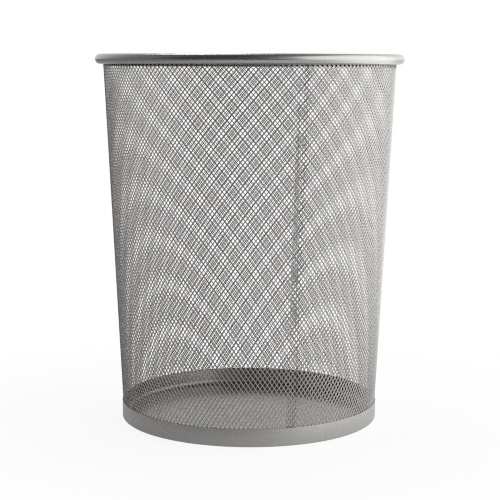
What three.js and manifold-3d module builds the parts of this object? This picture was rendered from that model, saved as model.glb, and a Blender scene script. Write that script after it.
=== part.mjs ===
// A round wastebasket of expanded steel mesh. A rolled hoop grips the mesh at the mouth, and at the
// base the mesh is held between an outer band and the turned-up flange of a pressed pan.
// Millimetres, +Z up. The origin is the middle of the base, on the floor, and the front is -Y.
import * as THREE from 'three';
import { mergeVertices } from 'three/addons/utils/BufferGeometryUtils.js';
import Module from 'manifold-3d';

const wasm = await Module();
wasm.setup();

// Whole basket
const basketHeight = 351;
const rimOutsideDiameter = 294;
const bandOutsideDiameter = 248.6;

// Rim hoop: a strip rolled into a bead, with a leg down the inside of the mesh
const beadDiameter = 9.5;
const rimGauge = 0.6;
const rimLegDrop = 2;

// Mesh wall: one sheet rolled into a cone, its ends lapped and spot welded. A lattice of large
// diamond openings stands for the fine mesh: strands that cross at joints.
const meshGauge = 0.5;
const meshTuck = 3.5;
const openingsAround = 24;
const openingsUp = 7;
const jointHeight = 7;
const lapWidth = 5;
const lapAzimuthDegrees = 17.5;

// Base band: an upright strip with a lip turned in under the pan
const bandHeight = 16.8;
const bandGauge = 0.5;
const bandBendRadius = 1.2;
const bandLipWidth = 6;

// Base pan: a pressed disc with a turned-up flange that backs the mesh
const panGauge = 0.5;
const panCornerRadius = 1.8;
const flangeBelowBand = 0.6;

// Gap left between pieces that are pressed together on the real basket
const fitClearance = 0.3;

// Smoothness of the facets. Where the lattice ends, a joint is one facet wide and an opening two.
const facetsPerOpening = 3;
const facetsAround = facetsPerOpening * openingsAround;
const facetAngle = (2 * Math.PI) / facetsAround;
const arcSteps = 2;

// Rim places: the bead's centre line, and the outer face and lower edge of the leg
const beadRadius = beadDiameter / 2;
const beadCentreRadius = rimOutsideDiameter / 2 - beadRadius;
const beadCentreHeight = basketHeight - beadRadius;
const legInnerRadius = rimOutsideDiameter / 2 - beadDiameter;
const legOuterRadius = legInnerRadius + rimGauge;
const legBottom = basketHeight - beadDiameter - rimLegDrop;

// The wall's outer face runs straight from inside the band's top edge to outside the rim's leg,
// and both seats leave room for the two layers of the lap.
const lapThickness = 2 * meshGauge;
const wallRadiusAtBand = bandOutsideDiameter / 2 - bandGauge - fitClearance;
const wallRadiusAtLeg = legOuterRadius + fitClearance + lapThickness;
const wallSlope = (wallRadiusAtLeg - wallRadiusAtBand) / (legBottom - bandHeight);
const wallBottom = bandGauge + fitClearance;
const wallTop = basketHeight - beadDiameter + meshTuck;

const wallRadius = (height) => wallRadiusAtBand + wallSlope * (height - bandHeight);

// The lattice fills the wall between band and leg. Its rows of joints are half an opening apart.
const lastRow = 2 * openingsUp;
const rowStep = (legBottom - bandHeight) / lastRow;
const rowHeight = (row) => bandHeight + row * rowStep;

// Coated steel, a little darker on the mesh than on the smooth strips
function coatedSteel(color, roughness) {
  return new THREE.MeshStandardMaterial({ color, roughness, metalness: 0.7 });
}

// Turns a closed outline, drawn as radius and height, around the upright axis.
function turned(outline) {
  const geometry = new THREE.LatheGeometry(outline, facetsAround);
  return geometry.rotateX(Math.PI / 2);
}

function closed(outline) {
  const points = outline.getPoints(arcSteps);
  const first = points[0];
  const last = points[points.length - 1];
  if (!first.equals(last)) {
    points.push(first.clone());
  }
  return points;
}

// Where the bead's rolled edge stops, just short of the mesh's outer face: an angle past its lowest point
function beadEdgeAngle() {
  const meshFace = wallRadius(basketHeight - beadDiameter) + fitClearance;
  return Math.asin((beadCentreRadius - meshFace) / beadRadius);
}

// Adds one arc of the bead's circle between each stop and the next
function followBead(outline, radius, stops, clockwise) {
  for (let stop = 1; stop < stops.length; stop += 1) {
    outline.absarc(beadCentreRadius, beadCentreHeight, radius, stops[stop - 1], stops[stop], clockwise);
  }
}

// The stops are the rolled edge and the bead's outermost, highest and innermost points.
function rimHoop() {
  const edge = -Math.PI / 2 - beadEdgeAngle();
  const stops = [edge, 0, Math.PI / 2, Math.PI];
  const outline = new THREE.Path();
  followBead(outline, beadRadius, stops, false);
  outline.lineTo(legInnerRadius, legBottom);
  outline.lineTo(legOuterRadius, legBottom);
  outline.lineTo(legOuterRadius, beadCentreHeight);
  followBead(outline, beadRadius - rimGauge, stops.toReversed(), true);
  return new THREE.Mesh(turned(closed(outline)), coatedSteel(0xa4a6a8, 0.38));
}

// A place on the flat sheet: columns count facets round from the middle of the lap.
function sheetPlace(column, height) {
  return [THREE.MathUtils.euclideanModulo(column, facetsAround), height];
}

// The same place on the rolled sheet, at a depth in from its outer face. Whole columns are facet middles.
function rolled([column, height], depth) {
  const lapAngle = THREE.MathUtils.degToRad(lapAzimuthDegrees - 90);
  const angle = lapAngle + column * facetAngle;
  const offMiddle = (column - Math.round(column)) * facetAngle;
  const radius = ((wallRadius(height) - depth) * Math.cos(facetAngle / 2)) / Math.cos(offMiddle);
  return [radius * Math.cos(angle), radius * Math.sin(angle), height];
}

function joint(column, row) {
  const height = rowHeight(row);
  return {
    left: sheetPlace(column - 0.5, height),
    right: sheetPlace(column + 0.5, height),
    top: sheetPlace(column, height + jointHeight / 2),
    bottom: sheetPlace(column, height - jointHeight / 2),
  };
}

// A joint in the first or last row is cut off at the plain edge of the sheet.
function jointOutline({ left, right, top, bottom }, row) {
  if (row === 0) {
    return [left, right, top];
  }
  if (row === lastRow) {
    return [left, bottom, right];
  }
  return [left, bottom, right, top];
}

// The two strands that rise from a joint to its neighbours in the next row
function strands(column, row) {
  const halfOpening = facetsPerOpening / 2;
  const lower = joint(column, row);
  const onRight = joint(column + halfOpening, row + 1);
  const onLeft = joint(column - halfOpening, row + 1);
  return [
    [lower.right, onRight.bottom, onRight.left, lower.top],
    [lower.top, onLeft.right, onLeft.bottom, lower.left],
  ];
}

function lattice() {
  const outlines = [];
  for (let row = 0; row <= lastRow; row += 1) {
    const shift = (row % 2) * (facetsPerOpening / 2);
    for (let opening = 0; opening < openingsAround; opening += 1) {
      const column = facetsPerOpening * opening + shift;
      outlines.push(jointOutline(joint(column, row), row));
      if (row < lastRow) {
        outlines.push(...strands(column, row));
      }
    }
  }
  return outlines;
}

function upright(leftColumn, rightColumn, low, high) {
  return [
    sheetPlace(leftColumn, low),
    sheetPlace(rightColumn, low),
    sheetPlace(rightColumn, high),
    sheetPlace(leftColumn, high),
  ];
}

// The sheet's plain edges, one behind the band and one in the rim, a facet at a time
function plainEdges() {
  const outlines = [];
  for (let column = 0; column < facetsAround; column += 1) {
    outlines.push(upright(column - 0.5, column + 0.5, wallBottom, rowHeight(0)));
    outlines.push(upright(column - 0.5, column + 0.5, rowHeight(lastRow), wallTop));
  }
  return outlines;
}

// Gives flat outlines, drawn anticlockwise, a thickness between two depths. A side that no other
// outline shares gets a wall.
function thickened(outlines, outerDepth, innerDepth) {
  const sides = new Set();
  for (const outline of outlines) {
    outline.forEach((place, index) => sides.add(`${place} ${outline[(index + 1) % outline.length]}`));
  }
  const corners = [];
  for (const outline of outlines) {
    const outer = outline.map((place) => rolled(place, outerDepth));
    const inner = outline.map((place) => rolled(place, innerDepth));
    for (let index = 2; index < outline.length; index += 1) {
      corners.push(outer[0], outer[index - 1], outer[index]);
      corners.push(inner[0], inner[index], inner[index - 1]);
    }
    outline.forEach((place, index) => {
      const next = (index + 1) % outline.length;
      if (!sides.has(`${outline[next]} ${place}`)) {
        corners.push(outer[index], inner[index], inner[next]);
        corners.push(outer[index], inner[next], outer[next]);
      }
    });
  }
  const geometry = new THREE.BufferGeometry();
  geometry.setAttribute('position', new THREE.Float32BufferAttribute(corners.flat(), 3));
  return geometry;
}

function solidOf(geometry) {
  const merged = mergeVertices(geometry);
  const vertProperties = merged.getAttribute('position').array;
  const triVerts = merged.getIndex().array;
  return new wasm.Manifold(new wasm.Mesh({ numProp: 3, vertProperties, triVerts }));
}

// The lap's inner layer is an upright strip, sunk halfway into the sheet so that the two are one.
function meshWall() {
  const sheet = thickened([...lattice(), ...plainEdges()], 0, meshGauge);
  const facetWidth = facetAngle * wallRadius((wallBottom + wallTop) / 2);
  const lapHalfColumn = lapWidth / 2 / facetWidth;
  const lapStrip = upright(-lapHalfColumn, lapHalfColumn, wallBottom, wallTop);
  const lap = thickened([lapStrip], meshGauge / 2, lapThickness);

  const joined = solidOf(sheet).add(solidOf(lap)).getMesh();
  const geometry = new THREE.BufferGeometry();
  geometry.setAttribute('position', new THREE.BufferAttribute(joined.vertProperties, 3));
  geometry.setIndex(new THREE.BufferAttribute(joined.triVerts, 1));
  geometry.computeVertexNormals();
  return new THREE.Mesh(geometry, coatedSteel(0x8f9193, 0.45));
}

function baseBand() {
  const outer = bandOutsideDiameter / 2;
  const bendCentre = outer - bandBendRadius;
  const lipEdge = outer - bandLipWidth;
  const outline = new THREE.Path();
  outline.moveTo(lipEdge, 0);
  outline.lineTo(bendCentre, 0);
  outline.absarc(bendCentre, bandBendRadius, bandBendRadius, -Math.PI / 2, 0, false);
  outline.lineTo(outer, bandHeight);
  outline.lineTo(outer - bandGauge, bandHeight);
  outline.lineTo(outer - bandGauge, bandBendRadius);
  outline.absarc(bendCentre, bandBendRadius, bandBendRadius - bandGauge, 0, -Math.PI / 2, true);
  outline.lineTo(lipEdge, bandGauge);
  return new THREE.Mesh(turned(closed(outline)), coatedSteel(0xa4a6a8, 0.38));
}

// The flange leans with the mesh, so its corner arcs stop where their tangent has the wall's lean.
function basePan() {
  const underside = bandGauge + fitClearance;
  const lean = Math.atan(wallSlope);
  const cornerCentreHeight = underside + panCornerRadius;
  const flangeFoot = cornerCentreHeight - panCornerRadius * Math.sin(lean);
  const flangeRadius = (height) => wallRadius(height) - lapThickness - fitClearance;
  const cornerCentreRadius = flangeRadius(flangeFoot) - panCornerRadius * Math.cos(lean);
  const innerCornerRadius = panCornerRadius - panGauge;
  const flangeTop = bandHeight - flangeBelowBand;
  const flangeThrough = panGauge / Math.cos(lean);

  const outline = new THREE.Path();
  outline.moveTo(0, underside);
  outline.lineTo(cornerCentreRadius, underside);
  outline.absarc(cornerCentreRadius, cornerCentreHeight, panCornerRadius, -Math.PI / 2, -lean, false);
  outline.lineTo(flangeRadius(flangeTop), flangeTop);
  outline.lineTo(flangeRadius(flangeTop) - flangeThrough, flangeTop);
  outline.absarc(cornerCentreRadius, cornerCentreHeight, innerCornerRadius, -lean, -Math.PI / 2, true);
  outline.lineTo(0, underside + panGauge);
  return new THREE.Mesh(turned(outline.getPoints(arcSteps)), coatedSteel(0x8a8c8e, 0.35));
}

const pieces = {
  rim_hoop: rimHoop(),
  mesh_wall: meshWall(),
  base_band: baseBand(),
  base_pan: basePan(),
};

const wastebasket = new THREE.Group();
for (const [name, piece] of Object.entries(pieces)) {
  piece.name = name;
  wastebasket.add(piece);
}

export default wastebasket;
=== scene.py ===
# Looks for a round mesh wastebasket: a rolled rim, an expanded mesh wall, a base band and a pressed pan.
import math

import bpy
import numpy as np
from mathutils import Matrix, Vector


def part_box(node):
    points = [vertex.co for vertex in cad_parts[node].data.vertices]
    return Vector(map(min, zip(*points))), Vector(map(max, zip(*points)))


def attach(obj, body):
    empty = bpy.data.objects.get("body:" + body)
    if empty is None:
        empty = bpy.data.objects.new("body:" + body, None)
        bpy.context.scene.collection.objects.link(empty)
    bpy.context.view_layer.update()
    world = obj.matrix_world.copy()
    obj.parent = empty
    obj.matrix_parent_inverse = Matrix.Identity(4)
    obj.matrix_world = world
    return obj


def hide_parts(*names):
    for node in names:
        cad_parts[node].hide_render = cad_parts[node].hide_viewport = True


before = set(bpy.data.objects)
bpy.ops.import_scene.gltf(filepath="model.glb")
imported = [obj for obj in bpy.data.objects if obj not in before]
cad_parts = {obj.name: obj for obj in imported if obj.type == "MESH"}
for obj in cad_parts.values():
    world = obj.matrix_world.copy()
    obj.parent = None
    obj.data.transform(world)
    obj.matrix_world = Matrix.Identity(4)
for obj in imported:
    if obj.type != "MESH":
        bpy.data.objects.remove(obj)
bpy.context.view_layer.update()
millimetre = 0.001
print("frame loaded:", ", ".join(sorted(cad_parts)))

# Places that every piece shares, read from the frame
rimLow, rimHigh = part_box("rim_hoop")
wallLow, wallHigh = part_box("mesh_wall")
bandLow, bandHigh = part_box("base_band")
panLow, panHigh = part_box("base_pan")


def makeMesh(name, points, faceGroups, material, smooth=True):
    # each face group is an array of corner numbers, one row per face, all rows with the same number of sides
    corners = np.concatenate([group.ravel() for group in faceGroups]).astype(np.int32)
    sides = np.concatenate([np.full(len(group), group.shape[1]) for group in faceGroups])
    starts = np.concatenate([[0], np.cumsum(sides)[:-1]]).astype(np.int32)
    mesh = bpy.data.meshes.new(name)
    mesh.vertices.add(len(points))
    mesh.vertices.foreach_set("co", np.asarray(points, np.float32).ravel())
    mesh.loops.add(len(corners))
    mesh.loops.foreach_set("vertex_index", corners)
    mesh.polygons.add(len(starts))
    mesh.polygons.foreach_set("loop_start", starts)
    mesh.polygons.foreach_set("use_smooth", np.full(len(starts), smooth))
    mesh.update(calc_edges=True)
    mesh.materials.append(material)
    piece = bpy.data.objects.new(name, mesh)
    bpy.context.scene.collection.objects.link(piece)
    return piece


def standsFor(piece, node):
    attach(piece, "root")
    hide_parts(node)
    return piece


def onCone(turn, radius, height):
    # a turn of 0 is the front; x = radius sin(turn), y = -radius cos(turn)
    return np.stack([radius * np.sin(turn), -radius * np.cos(turn), height + 0 * turn], axis=-1)


def halfCircle(centre, radius, start, points):
    # points of half a circle, anticlockwise from the start angle
    angles = np.linspace(start, start + math.pi, points)
    return centre + radius * np.stack([np.cos(angles), np.sin(angles)], axis=-1)


def roundedPath(stops, arcPoints=5):
    # stops are (radius, height, bend radius); each bend is an arc tangent to the two straight runs it joins
    spots = np.array([stop[:2] for stop in stops])
    path = []
    for number, (spot, bend) in enumerate(zip(spots, [stop[2] for stop in stops])):
        before = spots[number - 1] - spot
        after = spots[(number + 1) % len(spots)] - spot
        if bend == 0:
            path.append(spot[None])
            continue
        before = before / np.linalg.norm(before)
        after = after / np.linalg.norm(after)
        halfAngle = math.acos(np.clip(before @ after, -1, 1)) / 2
        centre = spot + (before + after) / np.linalg.norm(before + after) * bend / math.sin(halfAngle)
        first = spot + before * bend / math.tan(halfAngle) - centre
        last = spot + after * bend / math.tan(halfAngle) - centre
        share = np.linspace(0, 1, arcPoints)[:, None]
        sweep = math.pi - 2 * halfAngle
        arc = (np.sin((1 - share) * sweep) * first + np.sin(share * sweep) * last) / math.sin(sweep)
        path.append(centre + arc)
    return np.concatenate(path)


def sweepRound(profile, columns):
    # a profile of (radius, height) carried once round the axis: its points, and their numbers by column
    turns = np.linspace(0, 2 * math.pi, columns, endpoint=False)
    turnGrid, radiusGrid = np.meshgrid(turns, profile[:, 0], indexing="ij")
    heightGrid = np.broadcast_to(profile[:, 1], turnGrid.shape)
    points = onCone(turnGrid, radiusGrid, heightGrid).reshape(-1, 3)
    number = np.arange(len(points)).reshape(columns, len(profile))
    return points, number


def revolve(name, profile, columns, material):
    # a closed profile, anticlockwise, swept round
    points, number = sweepRound(profile, columns)
    across = np.roll(number, -1, axis=0)
    along = np.roll(number, -1, axis=1)
    diagonal = np.roll(across, -1, axis=1)
    quads = np.stack([number, across, diagonal, along], axis=-1).reshape(-1, 4)
    return makeMesh(name, points, [quads], material)


def rampNode(nodes, links, source, fromMin, fromMax, toMin, toMax, kind="SMOOTHSTEP"):
    ramp = nodes.new("ShaderNodeMapRange")
    ramp.interpolation_type = kind
    ramp.inputs["From Min"].default_value = fromMin
    ramp.inputs["From Max"].default_value = fromMax
    ramp.inputs["To Min"].default_value = toMin
    ramp.inputs["To Max"].default_value = toMax
    links.new(source, ramp.inputs["Value"])
    return ramp.outputs["Result"]


def mathNode(nodes, links, operation, *values):
    # each value is another node's output or a plain number
    node = nodes.new("ShaderNodeMath")
    node.operation = operation
    for socket, value in zip(node.inputs, values):
        if isinstance(value, bpy.types.NodeSocket):
            links.new(value, socket)
        else:
            socket.default_value = value
    return node.outputs[0]


def mixColours(nodes, links, factor, first, second):
    # each colour is another node's output or a plain colour
    mix = nodes.new("ShaderNodeMix")
    mix.data_type = "RGBA"
    links.new(factor, mix.inputs["Factor"])
    for socket, colour in zip((mix.inputs["A"], mix.inputs["B"]), (first, second)):
        if isinstance(colour, bpy.types.NodeSocket):
            links.new(colour, socket)
        else:
            socket.default_value = colour
    return mix.outputs["Result"]


# Coated steel: a metallic silver-grey coat with a fine grain and a faint change of gloss
coats = {
    "rim": {"colour": (0.335, 0.329, 0.317), "roughness": 0.3, "metallic": 0.85, "grain": 0.1},
    "band": {"colour": (0.37, 0.363, 0.35), "roughness": 0.5, "metallic": 0.85, "grain": 0.1},
    "mesh": {"colour": (0.36, 0.353, 0.341), "roughness": 0.5, "metallic": 0.9, "grain": 0.1},
    "pan": {"colour": (0.24, 0.236, 0.227), "roughness": 0.2, "metallic": 0.8, "grain": 0.02},
}
coatGrain = {"perMetre": 2600, "depth": 0.012 * millimetre}
coatPatches = {"perMetre": 22, "detail": 4, "range": (0.3, 0.7), "roughnessSpread": 0.04, "shadeSpread": 0.05}


def noiseNode(nodes, links, perMetre, detail=2):
    place = nodes.new("ShaderNodeTexCoord")
    noise = nodes.new("ShaderNodeTexNoise")
    noise.inputs["Scale"].default_value = perMetre
    noise.inputs["Detail"].default_value = detail
    links.new(place.outputs["Object"], noise.inputs["Vector"])
    return noise.outputs["Fac"]


def makeCoat(name, coat):
    material = bpy.data.materials.new(name)
    material.use_nodes = True
    nodes = material.node_tree.nodes
    links = material.node_tree.links
    shader = nodes["Principled BSDF"]
    shader.inputs["Metallic"].default_value = coat["metallic"]

    patches = noiseNode(nodes, links, coatPatches["perMetre"], coatPatches["detail"])
    glossiest = coat["roughness"] - coatPatches["roughnessSpread"]
    dullest = coat["roughness"] + coatPatches["roughnessSpread"]
    gloss = rampNode(nodes, links, patches, *coatPatches["range"], glossiest, dullest, kind="LINEAR")
    links.new(gloss, shader.inputs["Roughness"])
    darker = [channel * (1 - coatPatches["shadeSpread"]) for channel in coat["colour"]]
    lighter = [channel * (1 + coatPatches["shadeSpread"]) for channel in coat["colour"]]
    links.new(mixColours(nodes, links, patches, (*darker, 1), (*lighter, 1)), shader.inputs["Base Color"])

    bump = nodes.new("ShaderNodeBump")
    bump.inputs["Strength"].default_value = coat["grain"]
    bump.inputs["Distance"].default_value = coatGrain["depth"]
    links.new(noiseNode(nodes, links, coatGrain["perMetre"]), bump.inputs["Height"])
    links.new(bump.outputs["Normal"], shader.inputs["Normal"])
    return material


rimCoat = makeCoat("rim_coat", coats["rim"])
bandCoat = makeCoat("band_coat", coats["band"])
meshCoat = makeCoat("mesh_coat", coats["mesh"])
panCoat = makeCoat("pan_coat", coats["pan"])
print("coats made")


# Rim hoop: a strip rolled into a bead, with a leg down the inside of the mesh
rim = {
    "bead": 9.5 * millimetre,
    "gauge": 0.6 * millimetre,
    "edgePastLowest": 30,  # degrees that the rolled edge runs on past the bead's lowest point
    "arcPoints": 64,
    "tipPoints": 6,
    "columns": 360,
    "seatInset": 9.2 * millimetre,  # painted shade, near black, for the shadow on the mesh's seat: this far in from the outside,
    "seatDrop": 10.0 * millimetre,  # about this far below the top,
    "seatReach": 0.6 * millimetre,  # and this far up and down from there
    "seatShadeColour": (0.01, 0.01, 0.01, 1),
}


def paintSeatShade(material):
    # painted shade: a near-black colour, standing in for the shadow under the bead, shows where the radius is
    # past the seat's inset and the height is within its reach
    nodes = material.node_tree.nodes
    links = material.node_tree.links
    baseColour = nodes["Principled BSDF"].inputs["Base Color"]
    coat = baseColour.links[0].from_socket
    place = nodes.new("ShaderNodeTexCoord")
    parts = nodes.new("ShaderNodeSeparateXYZ")
    links.new(place.outputs["Object"], parts.inputs[0])
    level = nodes.new("ShaderNodeVectorMath")
    level.operation = "MULTIPLY"
    level.inputs[1].default_value = (1, 1, 0)
    links.new(place.outputs["Object"], level.inputs[0])
    distance = nodes.new("ShaderNodeVectorMath")
    distance.operation = "LENGTH"
    links.new(level.outputs[0], distance.inputs[0])
    radius = distance.outputs["Value"]
    outside = mathNode(nodes, links, "GREATER_THAN", radius, rimHigh.x - rim["seatInset"])
    middle = rimHigh.z - rim["seatDrop"]
    near = mathNode(nodes, links, "COMPARE", parts.outputs["Z"], middle, rim["seatReach"])
    seat = mathNode(nodes, links, "MULTIPLY", outside, near)
    links.new(mixColours(nodes, links, seat, coat, rim["seatShadeColour"]), baseColour)


def rimProfile():
    # the bead's outer circle from its rolled edge over the top to the inside, down the leg and round
    # its foot, back inside the bead, and round the rolled edge's tip
    beadRadius = rim["bead"] / 2
    centre = np.array([rimHigh.x - beadRadius, rimHigh.z - beadRadius])
    edge = math.radians(-90 - rim["edgePastLowest"])
    angles = np.linspace(edge, math.pi, rim["arcPoints"])
    circle = np.stack([np.cos(angles), np.sin(angles)], axis=-1)
    outside = centre + beadRadius * circle
    inside = centre + (beadRadius - rim["gauge"]) * circle[::-1]
    roundEdge = rim["gauge"] / 2
    legCentre = np.array([centre[0] - beadRadius + roundEdge, rimLow.z + roundEdge])
    leg = halfCircle(legCentre, roundEdge, math.pi, rim["tipPoints"])
    edgeCentre = (outside[0] + inside[-1]) / 2
    tip = halfCircle(edgeCentre, roundEdge, edge - math.pi, rim["tipPoints"])[1:-1]
    return np.concatenate([outside, leg, inside, tip])


# paints the shadow under the bead into the rim's coat
paintSeatShade(rimCoat)
rimStrip = revolve("rim_hoop_rolled", rimProfile(), rim["columns"], rimCoat)
rimPiece = standsFor(rimStrip, "rim_hoop")
print("rim made:", len(rimPiece.data.polygons), "faces")


# Base band: an upright strip with a bend at the foot and a lip turned in under the pan
band = {
    "gauge": 0.5 * millimetre,
    "bend": 1.2 * millimetre,
    "lip": 6 * millimetre,
    "edge": 0.2 * millimetre,
    "columns": 360,
}


def bandProfile():
    # along the lip's underside, up the outside, over the top edge, down the inside, back along the lip
    gauge, edge = band["gauge"], band["edge"]
    outer = bandHigh.x
    lipEdge = outer - band["lip"]
    return roundedPath([
        (lipEdge, 0, edge),
        (outer, 0, band["bend"]),
        (outer, bandHigh.z, edge),
        (outer - gauge, bandHigh.z, edge),
        (outer - gauge, gauge, band["bend"] - gauge),
        (lipEdge, gauge, edge),
    ])


bandStrip = revolve("base_band_strip", bandProfile(), band["columns"], bandCoat)
bandPiece = standsFor(bandStrip, "base_band")
print("band made:", len(bandPiece.data.polygons), "faces")


# Mesh wall: a cone of diamonds, its outer face running from inside the band to the top inside the rim
wall = {
    "cellsRound": 184.45,  # diamonds in one full turn of the sheet
    "lapCells": 1.1,  # diamonds that lie double at the seam
    "seamTurn": 17.0,  # degrees right of the front
    "strandWidth": 0.74 * millimetre,
    "gauge": 0.4 * millimetre,
    "cornerCut": 0.1,  # share of a hole's edge that its filled corner takes
    "louvre": 0.26 * millimetre,  # lean of the strands: right edge out and left edge in, seen from outside
    "flattens": 3.0 * millimetre,  # the lean dies out over this length, up to the rim's leg
    "topCell": 5.26 * millimetre,  # height of a diamond at the rim
    "bottomCell": 6.44 * millimetre,  # and at the base, where the sheet was drawn out more
    "bandSeat": 0.55 * millimetre,  # band gauge and a hair's gap
    "spareRows": 3,  # half rows left off the foot, where the front rows reach lower
    "sectors": 5,
}
# How unevenly the sheet was drawn, in half diamonds over half the wall's height, as a real one is
drawing = {
    "leanFirst": -1.0,  # lean of the columns at the sheet's first end, right of the seam
    "leanLast": 0.3,  # and at its last end, left of it
    "start": -0.45,  # how far the rows are lifted all round
    "frontStretch": 0.8,  # rows at the front, beside the seam, are drawn longer
    "frontDrop": -0.33,
    "frontSkew": 0.5,
    "halfHeight": 160 * millimetre,
    "middle": 180 * millimetre,
}


def wallRadius(height):
    # straight from the band's inside at its top edge to the CAD wall's top
    atBand = bandHigh.x - wall["bandSeat"]
    slope = (wallHigh.x - atBand) / (wallHigh.z - bandHigh.z)
    return atBand + slope * (height - bandHigh.z)


def cellGrowth():
    # how much taller a cell gets for each metre down the wall
    return (wall["bottomCell"] - wall["topCell"]) / (wallHigh.z - wallLow.z)


def rowHeight(row):
    # a cell's height grows evenly from the top down, so the heights of the half rows follow an exponential
    growth = cellGrowth()
    drop = wall["topCell"] / growth * (np.exp(growth * row / 2) - 1)
    return wallHigh.z - drop


def sheetPoint(column, row, sidestep, rise):
    # column and row count half cells; sidestep and rise are shares of a half cell within the hole.
    # The turn grows with the column and leans with the height; the rows lift in step with the turn's cosine
    halfCell = math.pi / wall["cellsRound"]
    turn = math.radians(wall["seamTurn"]) + (column + sidestep) * halfCell
    tall = (rowHeight(row - rise) - drawing["middle"]) / drawing["halfHeight"]
    share = column / (2 * wall["cellsRound"])
    lean = drawing["leanFirst"] + (drawing["leanLast"] - drawing["leanFirst"]) * share
    front = (1 + np.cos(turn)) / 2
    frontLift = drawing["frontStretch"] * tall + drawing["frontDrop"] + drawing["frontSkew"] * np.sin(turn)
    lift = drawing["start"] + front * frontLift
    return turn - lean * tall * halfCell, rowHeight(row - rise - lift)


def holeCorners(rowGrid):
    # a hole is a diamond, shrunk by half a strand and with its corners cut, so it has eight corners:
    # right upper, top right, top left, left upper, left lower, bottom left, bottom right, right lower
    halfWide = math.pi / wall["cellsRound"] * wallRadius(rowHeight(rowGrid))
    halfTall = (rowHeight(rowGrid - 1) - rowHeight(rowGrid + 1)) / 2
    shrink = 1 - wall["strandWidth"] / 2 * np.sqrt(1 / halfWide ** 2 + 1 / halfTall ** 2)
    long = shrink * (1 - wall["cornerCut"])
    short = shrink * wall["cornerCut"]
    sidesteps = np.stack([long, short, -short, -long, -long, -short, short, long], axis=-1)
    rises = np.stack([short, long, long, short, -short, -long, -long, -short], axis=-1)
    return sidesteps, rises


def sheetFaces(columnGrid, rowGrid, firstColumn, lastColumn):
    # joints sit where column + row is even and holes where it is odd; a bond is the eight-sided middle
    # of a joint, and a rising or falling strand is the bar from its bond to the next one, between two holes
    number = np.arange(columnGrid.size * 8).reshape(*columnGrid.shape, 8)
    right, left = number[2:, 1:-1], number[:-2, 1:-1]
    below, above = number[1:-1, 2:], number[1:-1, :-2]
    column, row = columnGrid[1:-1, 1:-1], rowGrid[1:-1, 1:-1]
    joint = (column + row) % 2 == 0
    bonds = np.stack([
        right[..., 4], right[..., 3], above[..., 6], above[..., 5],
        left[..., 0], left[..., 7], below[..., 2], below[..., 1],
    ], axis=-1)[joint]
    notTop = joint & (row > 0)
    rising = np.stack([right[..., 3], right[..., 2], above[..., 7], above[..., 6]], axis=-1)
    rising = rising[notTop & (column < lastColumn)]
    falling = np.stack([above[..., 5], above[..., 4], left[..., 1], left[..., 0]], axis=-1)
    falling = falling[notTop & (column > firstColumn)]
    return bonds, np.concatenate([rising, falling])


def sideWalls(faceGroups, behind):
    # an edge that only one face has is a side of a hole or of the sheet, and gets a wall to the points
    # behind it
    starts = np.concatenate([group.ravel() for group in faceGroups])
    ends = np.concatenate([np.roll(group, -1, axis=1).ravel() for group in faceGroups])
    key = np.minimum(starts, ends) * behind + np.maximum(starts, ends)
    _, place, times = np.unique(key, return_index=True, return_counts=True)
    single = place[times == 1]
    edgeStarts, edgeEnds = starts[single], ends[single]
    return np.stack([edgeStarts, edgeStarts + behind, edgeEnds + behind, edgeEnds], axis=-1)


def meshSector(name, firstColumn, lastColumn, rows):
    # the sheet's radius is the wall's, less the lap's step at the first end, which lies under the last,
    # and less the lean, which grows from a hole's left side to its right
    columns = np.arange(firstColumn - 1, lastColumn + 2)
    columnGrid, rowGrid = np.meshgrid(columns, np.arange(-1, rows + 1), indexing="ij")
    sidesteps, rises = holeCorners(rowGrid)
    turn, height = sheetPoint(columnGrid[..., None], rowGrid[..., None], sidesteps, rises)
    under = np.clip(1 + wall["lapCells"] - columnGrid / 2, 0, 1)[..., None]
    lapStep = wall["gauge"] + wall["louvre"]
    lean = wall["louvre"] * np.clip((rimLow.z - height) / wall["flattens"], 0, 1)
    radius = wallRadius(height) - lapStep * under - lean * (sidesteps + 1)
    front = onCone(turn, radius, height).reshape(-1, 3)
    back = onCone(turn, radius - wall["gauge"], height).reshape(-1, 3)

    behind = len(front)
    bonds, strands = sheetFaces(columnGrid, rowGrid, firstColumn, lastColumn)
    walls = sideWalls([bonds, strands], behind)
    groups = [bonds, strands, bonds[:, ::-1] + behind, strands[:, ::-1] + behind, walls]
    points = np.concatenate([front, back])
    used = np.unique(np.concatenate([group.ravel() for group in groups]))
    renumber = np.zeros(len(points), np.int64)
    renumber[used] = np.arange(len(used))
    return makeMesh(name, points[used], [renumber[group] for group in groups], meshCoat, smooth=False)


def makeWall():
    rows = int(2 / cellGrowth() * math.log(wall["bottomCell"] / wall["topCell"])) - wall["spareRows"]
    lastColumn = int(2 * wall["cellsRound"] + 2 * wall["lapCells"])
    edges = np.linspace(0, lastColumn, wall["sectors"] + 1).astype(int)
    for sector in range(wall["sectors"]):
        name = f"mesh_wall_sheet_{sector + 1}"
        piece = meshSector(name, edges[sector], edges[sector + 1], rows)
        standsFor(piece, "mesh_wall")
        print("mesh sector", sector + 1, "made:", len(piece.data.polygons), "faces")


makeWall()


# Base pan: a pressed floor with a turned-up flange that leans with the mesh
pan = {
    "gauge": 0.5 * millimetre,
    "corner": 5.0 * millimetre,
    "edge": 0.2 * millimetre,
    "columns": 360,
    "rings": 12,
}


def panProfile():
    # from the underside out, round the corner, up the flange, over its edge and back to the floor
    gauge = pan["gauge"]
    slope = (wallRadius(panHigh.z) - wallRadius(panLow.z)) / (panHigh.z - panLow.z)
    foot = panHigh.x - slope * (panHigh.z - panLow.z)
    bends = roundedPath([
        (0, panLow.z, 0),
        (foot, panLow.z, pan["corner"]),
        (panHigh.x, panHigh.z, pan["edge"]),
        (panHigh.x - gauge, panHigh.z, pan["edge"]),
        (foot - gauge + slope * gauge, panLow.z + gauge, pan["corner"] - gauge),
        (0, panLow.z + gauge, 0),
    ])
    return bends[1:-1]


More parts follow.
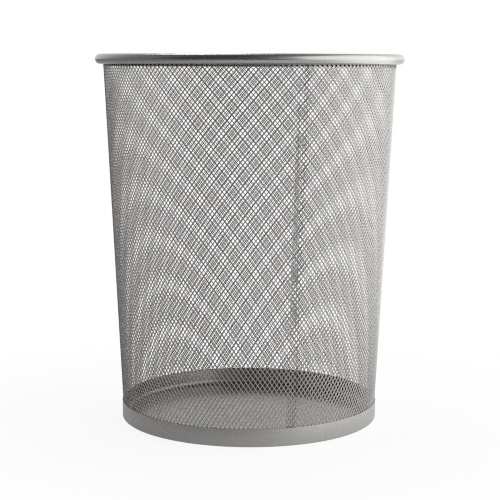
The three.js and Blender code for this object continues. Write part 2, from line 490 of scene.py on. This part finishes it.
def makePan():
    # rings of the profile round the axis, closed by one middle point above and one below
    profile = panProfile()
    columns = pan["columns"]
    floorHeight = panLow.z + pan["gauge"]
    floorRings = np.linspace(0, 1, pan["rings"] + 1)[1:-1]
    under = np.stack([profile[0, 0] * floorRings, np.full(len(floorRings), panLow.z)], axis=-1)
    over = np.stack([profile[-1, 0] * floorRings[::-1], np.full(len(floorRings), floorHeight)], axis=-1)
    points, number = sweepRound(np.concatenate([under, profile, over]), columns)
    across = np.roll(number, -1, axis=0)
    quads = np.stack([number[:, :-1], across[:, :-1], across[:, 1:], number[:, 1:]], axis=-1).reshape(-1, 4)
    middleUnder, middleOver = len(points), len(points) + 1
    points = np.concatenate([points, [(0, 0, panLow.z), (0, 0, floorHeight)]])
    fanUnder = np.stack([across[:, 0], number[:, 0], np.full(columns, middleUnder)], axis=-1)
    fanOver = np.stack([number[:, -1], across[:, -1], np.full(columns, middleOver)], axis=-1)
    return makeMesh("base_pan_pressed", points, [quads, fanUnder, fanOver], panCoat)


panPiece = standsFor(makePan(), "base_pan")
print("pan made:", len(panPiece.data.polygons), "faces")


# Floor: a wide pale sheet with painted shade on its front part and, fainter, on its left; the camera sees it
# as white apart from the soft shadow
floorSheet = {
    "halfWidth": 60.0,
    "pale": (0.8, 0.8, 0.8, 1),
    "paintedShadeColour": (0.04, 0.04, 0.04, 1),
    "frontEdge": (-1.2, -0.9),  # how far north the painted shade in front gives way to the pale part, and where the pale part is full
    "leftEdge": (-0.6, -0.15),  # how far east the painted shade on the left ends
    "leftShadedLevel": 0.6,
    "shadowReach": (0.16, 0.42),  # from the axis, where the camera's white begins to rise and is full
    "whiteNear": 0.9,
    "glossyEdge": (-0.5, 0.4),  # how far east the painted glow that reflections see begins to brighten, and where it stops
    "glossyPaintedGlow": (0.2, 0.95),
}


def floorMaterial():
    # painted light = north ramp times east ramp, shading the floor's front and left; white to the camera, and
    # in reflections a painted glow that brightens to the east
    material = bpy.data.materials.new("pale_floor")
    material.use_nodes = True
    nodes = material.node_tree.nodes
    links = material.node_tree.links
    nodes.remove(nodes["Principled BSDF"])
    place = nodes.new("ShaderNodeTexCoord")
    parts = nodes.new("ShaderNodeSeparateXYZ")
    links.new(place.outputs["Object"], parts.inputs[0])
    reach = nodes.new("ShaderNodeVectorMath")
    reach.operation = "LENGTH"
    links.new(place.outputs["Object"], reach.inputs[0])
    east, north, distance = parts.outputs["X"], parts.outputs["Y"], reach.outputs["Value"]

    fromFront = rampNode(nodes, links, north, *floorSheet["frontEdge"], 0, 1)
    fromLeft = rampNode(nodes, links, east, *floorSheet["leftEdge"], floorSheet["leftShadedLevel"], 1)
    # painted shade on the floor's front and left, where less light falls
    paintedLight = mathNode(nodes, links, "MULTIPLY", fromFront, fromLeft)
    diffuse = nodes.new("ShaderNodeBsdfDiffuse")
    colour = mixColours(nodes, links, paintedLight, floorSheet["paintedShadeColour"], floorSheet["pale"])
    links.new(colour, diffuse.inputs["Color"])

    rays = nodes.new("ShaderNodeLightPath")
    whiteness = rampNode(nodes, links, distance, *floorSheet["shadowReach"], floorSheet["whiteNear"], 1)
    toCamera = mathNode(nodes, links, "MULTIPLY", rays.outputs["Is Camera Ray"], whiteness)
    paintedGlowRamp = rampNode(nodes, links, east, *floorSheet["glossyEdge"], *floorSheet["glossyPaintedGlow"])
    # painted glow for reflections, brighter to the east, standing in for the right lamp's light on the floor
    glossyPaintedGlow = mathNode(nodes, links, "MULTIPLY", paintedLight, paintedGlowRamp)
    toGlossy = mathNode(nodes, links, "MULTIPLY", rays.outputs["Is Glossy Ray"], glossyPaintedGlow)
    white = nodes.new("ShaderNodeEmission")
    mix = nodes.new("ShaderNodeMixShader")
    links.new(mathNode(nodes, links, "MAXIMUM", toCamera, toGlossy), mix.inputs["Fac"])
    links.new(diffuse.outputs[0], mix.inputs[1])
    links.new(white.outputs[0], mix.inputs[2])
    links.new(mix.outputs[0], nodes["Material Output"].inputs["Surface"])
    return material


def makeFloor():
    half = floorSheet["halfWidth"]
    points = np.array([(-half, -half, 0), (half, -half, 0), (half, half, 0), (-half, half, 0)])
    sheet = makeMesh("floor_sheet", points, [np.array([[0, 1, 2, 3]])], floorMaterial())


makeFloor()
print("floor made")


# Studio: grey on the left, pale on the right and behind, dark in front and overhead, white to the camera
studio = {
    "frontLevel": 0.06,
    "sideLevel": 0.38,
    "backLevel": 1.0,
    "rightLevel": 0.6,
    "rightEdge": (0.0, 0.6),  # eastward part of the direction where the pale right side begins and is full
    "frontEdge": (-0.55, -0.25),  # northward part where the dark front ends and the sides begin
    "backEdge": (0.05, 0.95),  # and where the sides end and the back begins
    "ceilingEdge": (0.5, 0.95),  # upward part of the direction where the ceiling begins and is full
    "ceilingShare": 0.25,
}


def makeWorld():
    # level = (front to side ramp + side to back ramp + right ramp) times the ceiling's fall-off
    world = bpy.data.worlds.new("studio")
    bpy.context.scene.world = world
    world.use_nodes = True
    nodes = world.node_tree.nodes
    links = world.node_tree.links
    surround = nodes["Background"]
    surround.inputs["Color"].default_value = (1, 1, 1, 1)
    white = nodes.new("ShaderNodeBackground")
    white.inputs["Color"].default_value = (1, 1, 1, 1)
    direction = nodes.new("ShaderNodeTexCoord")
    parts = nodes.new("ShaderNodeSeparateXYZ")
    links.new(direction.outputs["Generated"], parts.inputs[0])
    east, north, up = parts.outputs["X"], parts.outputs["Y"], parts.outputs["Z"]
    side = studio["sideLevel"]
    sides = rampNode(nodes, links, north, *studio["frontEdge"], studio["frontLevel"], side)
    behind = rampNode(nodes, links, north, *studio["backEdge"], 0, studio["backLevel"] - side)
    right = rampNode(nodes, links, east, *studio["rightEdge"], 0, studio["rightLevel"])
    walls = mathNode(nodes, links, "ADD", mathNode(nodes, links, "ADD", sides, behind), right)
    ceiling = rampNode(nodes, links, up, *studio["ceilingEdge"], 1, studio["ceilingShare"])
    links.new(mathNode(nodes, links, "MULTIPLY", walls, ceiling), surround.inputs["Strength"])
    rays = nodes.new("ShaderNodeLightPath")
    mix = nodes.new("ShaderNodeMixShader")
    links.new(rays.outputs["Is Camera Ray"], mix.inputs["Fac"])
    links.new(surround.outputs[0], mix.inputs[1])
    links.new(white.outputs[0], mix.inputs[2])
    links.new(mix.outputs[0], nodes["World Output"].inputs["Surface"])


makeWorld()
print("studio made")

# A lamp's glow is how bright its panel looks, where a white wall is 1
lamps = {
    "key_right": {"place": (1.0, -0.35, 0.85), "aim": (0, -0.35, 0.85), "size": (2.1, 1.7), "glow": 1.75},
    "backdrop": {"place": (0, 1.4, 0.3), "aim": (0, 0, 0.3), "size": (0.9, 0.55), "glow": 0.4},
    "top_back": {"place": (-0.3, 0.62, 1.6), "aim": (0, 0, 0.3), "size": (0.7, 0.5), "glow": 8.0},
    "right_floor": {"place": (0.62, 0.2, 0.03), "aim": (0.62, 0.2, 1.0), "size": (0.6, 0.8), "glow": 1.25},
}


def makeLamp(name, values):
    light = bpy.data.lights.new(name, "AREA")
    light.shape = "RECTANGLE"
    light.size, light.size_y = values["size"]
    light.energy = values["glow"] * math.pi * light.size * light.size_y
    lamp = bpy.data.objects.new(name, light)
    lamp.visible_camera = False
    bpy.context.scene.collection.objects.link(lamp)
    lamp.location = values["place"]
    away = Vector(values["place"]) - Vector(values["aim"])
    lamp.rotation_euler = away.to_track_quat("Z", "Y").to_euler()


for lampName, lampValues in lamps.items():
    makeLamp(lampName, lampValues)
print("lamps made:", ", ".join(lamps))


# Camera: just below the top of the rim, tipped down to the middle of the basket
view = {
    "distance": 1.3056,
    "height": 0.3432,
    "tipDown": 7.89,
    "lean": 0.17,
    "focalPixels": 1353.1,
    "imagePixels": 500,
    "axisColumn": 249.33,
    "sensor": 36.0,
    "clipStart": 0.05,
    "filterPixels": 1.2,
}


def makeCamera():
    cameraData = bpy.data.cameras.new("photo_camera")
    cameraData.sensor_width = view["sensor"]
    cameraData.lens = view["focalPixels"] / view["imagePixels"] * view["sensor"]
    cameraData.shift_x = 0.5 - view["axisColumn"] / view["imagePixels"]
    cameraData.clip_start = view["clipStart"]
    camera = bpy.data.objects.new("photo_camera", cameraData)
    bpy.context.scene.collection.objects.link(camera)
    camera.location = (0, -view["distance"], view["height"])
    camera.rotation_euler = (math.radians(90 - view["tipDown"]), 0, 0)
    camera.rotation_euler.rotate_axis("Z", math.radians(view["lean"]))
    bpy.context.scene.camera = camera


makeCamera()
bpy.context.scene.view_settings.view_transform = "Standard"
bpy.context.scene.cycles.use_denoising = False  # a denoiser smears strands as thin as these
bpy.context.scene.cycles.filter_width = view["filterPixels"]
print("camera set")
